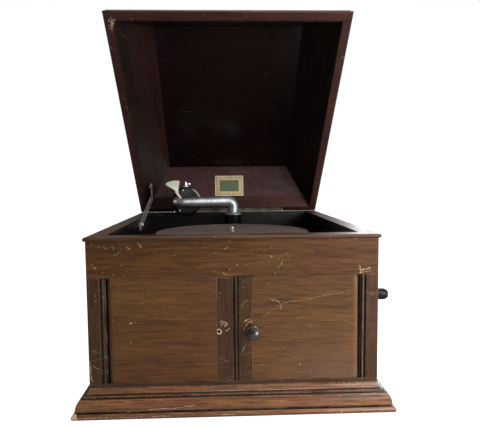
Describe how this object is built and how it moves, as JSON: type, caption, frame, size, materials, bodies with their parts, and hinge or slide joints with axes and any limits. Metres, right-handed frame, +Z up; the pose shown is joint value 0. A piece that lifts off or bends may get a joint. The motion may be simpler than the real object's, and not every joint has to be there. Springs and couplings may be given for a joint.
{
  "type": "table_gramophone",
  "caption": "Table gramophone with a hipped lid on a slotted stay, doors over a wooden horn, a felt turntable, a side crank, a spring motor and a tone arm with a throw-back swan-neck.",
  "frame": {"origin": "middle of the underside of the base board", "axes": "+X towards the crank side, -Y towards the doors at the front, +Z up"},
  "size_m": [0.582, 0.564, 0.6623],
  "materials": {
    "cabinet_wood": "satin",
    "red_wood": "satin",
    "dark_wood": "gloss",
    "plain_wood": "matte",
    "nickel": "polished",
    "steel": "satin",
    "spring_steel": "satin",
    "brass": "satin",
    "cast_iron": "matte",
    "aluminium": "satin",
    "black_enamel": "gloss",
    "label_enamel": "satin",
    "felt": "matte",
    "ivory_plastic": "matte",
    "bristle": "matte"
  },
  "bodies": {
    "cabinet": {"base_board": "cabinet_wood", "plinth_moulding": "cabinet_wood", "side_panel_left": "cabinet_wood", "side_panel_right": "cabinet_wood", "back_panel": "cabinet_wood", "bottom_rail": "cabinet_wood", "front_frieze": "cabinet_wood", "front_posts": "red_wood", "rim_moulding": "cabinet_wood", "board_battens": "plain_wood", "motor_board": "dark_wood", "board_screws": "nickel", "horn": "plain_wood", "horn_elbow": "cast_iron", "crank_escutcheon": "brass", "needle_cups": "nickel", "arm_base": "black_enamel", "hinge_leaf_body": "brass", "hinge_pin": "steel", "stay_stud": "nickel", "door_pivots": "brass", "motor_frame": "cast_iron"},
    "lid": {"lid_frame": "cabinet_wood", "lid_front_panel": "dark_wood", "lid_back_panel": "dark_wood", "lid_side_panels": "dark_wood", "lid_top_board": "cabinet_wood", "label_plate": "label_enamel", "hinge_leaf_lid": "brass", "stay_bracket": "nickel"},
    "stay": {"lid_stay": "nickel"},
    "door_left": {"door_panel_left": "cabinet_wood", "door_stile_left": "red_wood"},
    "door_right": {"door_panel_right": "cabinet_wood", "door_stile_right": "red_wood", "door_knob": "dark_wood", "knob_ring": "nickel"},
    "turntable": {"platter": "nickel", "felt_mat": "felt", "spindle": "steel"},
    "intermediate": {"intermediate_gear": "brass"},
    "barrel": {"spring_barrel": "steel", "mainspring": "spring_steel"},
    "governor_shaft": {"governor": "brass"},
    "winding": {"winding_wheel": "steel"},
    "crank": {"crank_rod": "steel"},
    "grip": {"crank_grip": "dark_wood"},
    "tone_arm": {"arm_tube_rear": "nickel", "arm_tube_front": "nickel"},
    "sound_box": {"swan_neck": "nickel", "sound_box_case": "black_enamel", "sound_box_ring": "black_enamel", "diaphragm": "aluminium", "stylus_bar": "nickel", "needle": "steel", "brush_stem": "ivory_plastic", "brush_bristles": "bristle"},
    "thumb_screw": {"needle_screw": "nickel"},
    "speed": {"speed_lever": "nickel"},
    "brake": {"brake_lever": "nickel"}
  },
  "joints": [
    {"name": "lid_hinge", "type": "hinge", "parent": "cabinet", "child": "lid", "pos_m": [0, 0.2515, 0.2646], "axis": [1, 0, 0], "range_deg": [0, 46.8]},
    {"name": "stay_swing", "type": "hinge", "parent": "lid", "child": "stay", "pos_m": [-0.1888, 0.2224, 0.2988], "axis": [1, 0, 0], "range_deg": [-56.7, 0]},
    {"name": "door_left_hinge", "type": "hinge", "parent": "cabinet", "child": "door_left", "pos_m": [-0.1784, -0.2435, 0.1245], "axis": [0, 0, -1], "range_deg": [0, 90]},
    {"name": "door_right_hinge", "type": "hinge", "parent": "cabinet", "child": "door_right", "pos_m": [0.1784, -0.2435, 0.1245], "axis": [0, 0, 1], "range_deg": [0, 90]},
    {"name": "turntable_spin", "type": "hinge", "parent": "cabinet", "child": "turntable", "pos_m": [0.003, -0.0095, 0.23], "axis": [0, 0, 1], "continuous": true},
    {"name": "intermediate_spin", "type": "hinge", "parent": "cabinet", "child": "intermediate", "pos_m": [0.0321, 0.0073, 0.19], "axis": [0, 0, 1], "continuous": true},
    {"name": "barrel_spin", "type": "hinge", "parent": "cabinet", "child": "barrel", "pos_m": [0.08284, -0.01117, 0.15], "axis": [0, 0, 1], "continuous": true},
    {"name": "governor_spin", "type": "hinge", "parent": "cabinet", "child": "governor_shaft", "pos_m": [0, -0.0391, 0.1515], "axis": [1, 0, 0], "continuous": true},
    {"name": "crank_turn", "type": "hinge", "parent": "cabinet", "child": "crank", "pos_m": [0.2, -0.01117, 0.1802], "axis": [1, 0, 0], "continuous": true},
    {"name": "winding_spin", "type": "hinge", "parent": "cabinet", "child": "winding", "pos_m": [0.08284, -0.01117, 0.15], "axis": [0, 0, 1], "continuous": true},
    {"name": "grip_spin", "type": "hinge", "parent": "crank", "child": "grip", "pos_m": [0.3, 0.07997, 0.09032], "axis": [1, 0, 0], "continuous": true},
    {"name": "tonearm_swing", "type": "hinge", "parent": "cabinet", "child": "tone_arm", "pos_m": [0.009, 0.1645, 0.26], "axis": [0, 0, 1], "range_deg": [0, 80]},
    {"name": "soundbox_flip", "type": "hinge", "parent": "tone_arm", "child": "sound_box", "pos_m": [-0.11464, 0.13137, 0.2944], "axis": [0.2588, -0.9659, 0], "range_deg": [0, 180]},
    {"name": "needle_screw_turn", "type": "hinge", "parent": "sound_box", "child": "thumb_screw", "pos_m": [-0.10134, 0.18608, 0.3344], "axis": [0.9659, 0.2588, 0], "continuous": true},
    {"name": "speed_lever_turn", "type": "hinge", "parent": "cabinet", "child": "speed", "pos_m": [0.04, -0.1965, 0.214], "axis": [0, 0, 1], "range_deg": [-35, 35]},
    {"name": "brake_lever_turn", "type": "hinge", "parent": "cabinet", "child": "brake", "pos_m": [0.167, -0.06, 0.214], "axis": [0, 0, 1], "range_deg": [-60, 0]}
  ],
  "couplings": [
    {"joint": "stay_swing", "follows": "lid_hinge", "ratio": -1.21},
    {"joint": "intermediate_spin", "follows": "turntable_spin", "ratio": -0.33333},
    {"joint": "barrel_spin", "follows": "turntable_spin", "ratio": 0.041667},
    {"joint": "governor_spin", "follows": "turntable_spin", "ratio": 15},
    {"joint": "winding_spin", "follows": "crank_turn", "ratio": 0.33333}
  ]
}
